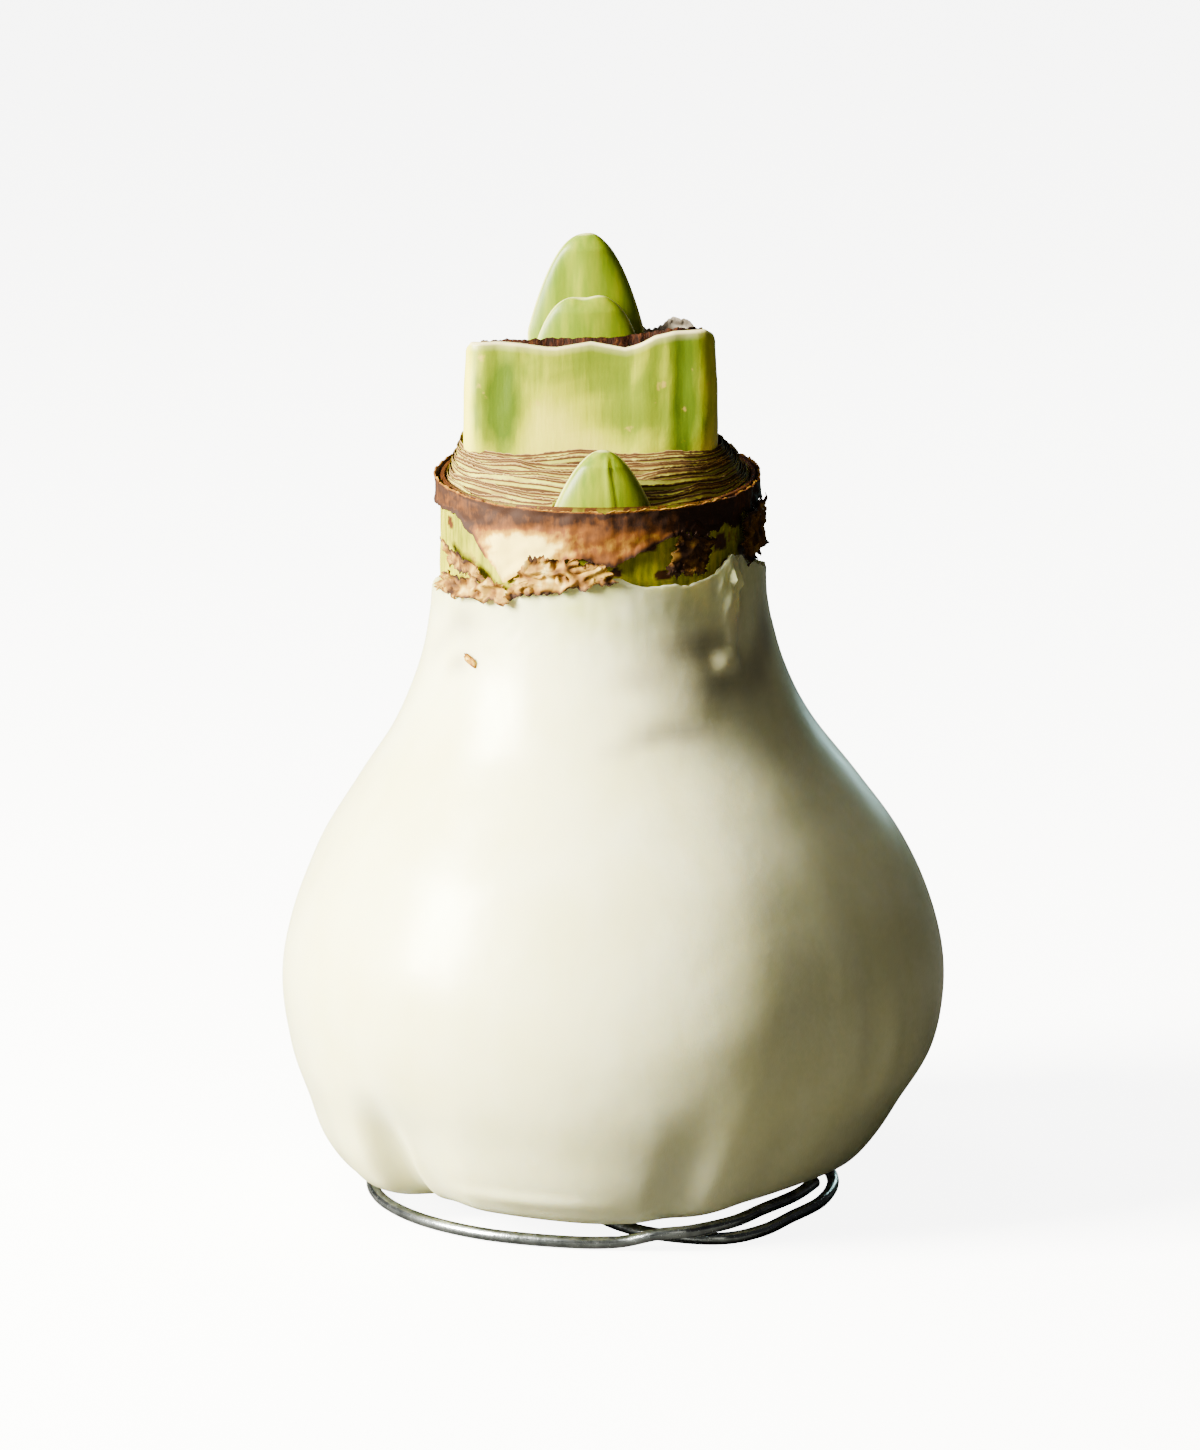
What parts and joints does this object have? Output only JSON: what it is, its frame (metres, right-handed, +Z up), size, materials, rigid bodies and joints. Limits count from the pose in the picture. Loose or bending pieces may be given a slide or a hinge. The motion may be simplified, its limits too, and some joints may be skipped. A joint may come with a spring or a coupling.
{
  "type": "waxed amaryllis bulb",
  "caption": "Wax-dipped amaryllis bulb with cut neck scales, a trimmed leaf collar and new leaf tips, standing on a bent wire ring.",
  "frame": {"origin": "on the surface that the wire ring rests on, under the middle of the waxed bulb", "axes": "+Z up along the bulb's height, -Y towards the front where the side shoot stands, +X to the right seen from the front"},
  "size_m": [0.0966, 0.0942, 0.1407],
  "materials": {
    "galvanised_wire": "dull zinc with fine drawn lines",
    "cream_wax": "smooth semi-gloss candle wax",
    "bulb_flesh": "fleshy, satin",
    "cut_scale": "dried cut edges over pale flesh, matt",
    "leaf_green": "waxy leaf, satin gloss",
    "brown_membrane": "dry fibrous, matt",
    "papery_skin": "dry papery, matt to satin",
    "grey_paper": "thin and translucent"
  },
  "bodies": {
    "root": {"wire_stand": "galvanised_wire", "wax_coat": "cream_wax", "bulb_body": "bulb_flesh", "neck_scale_1": "cut_scale", "neck_scale_2": "cut_scale", "neck_scale_3": "cut_scale", "neck_scale_4": "cut_scale", "neck_scale_5": "cut_scale", "neck_scale_6": "cut_scale", "leaf_sheath": "leaf_green", "inner_membrane": "brown_membrane", "sheath_shred": "grey_paper", "leaf_tall": "leaf_green", "leaf_short": "leaf_green", "side_shoot": "leaf_green", "outer_tunic": "papery_skin", "tunic_flake_left": "papery_skin", "tunic_flake_front_left": "papery_skin", "tunic_flake_front": "papery_skin", "tunic_flake_right": "papery_skin", "tunic_flake_corner": "papery_skin", "tunic_chip": "papery_skin"}
  },
  "joints": []
}
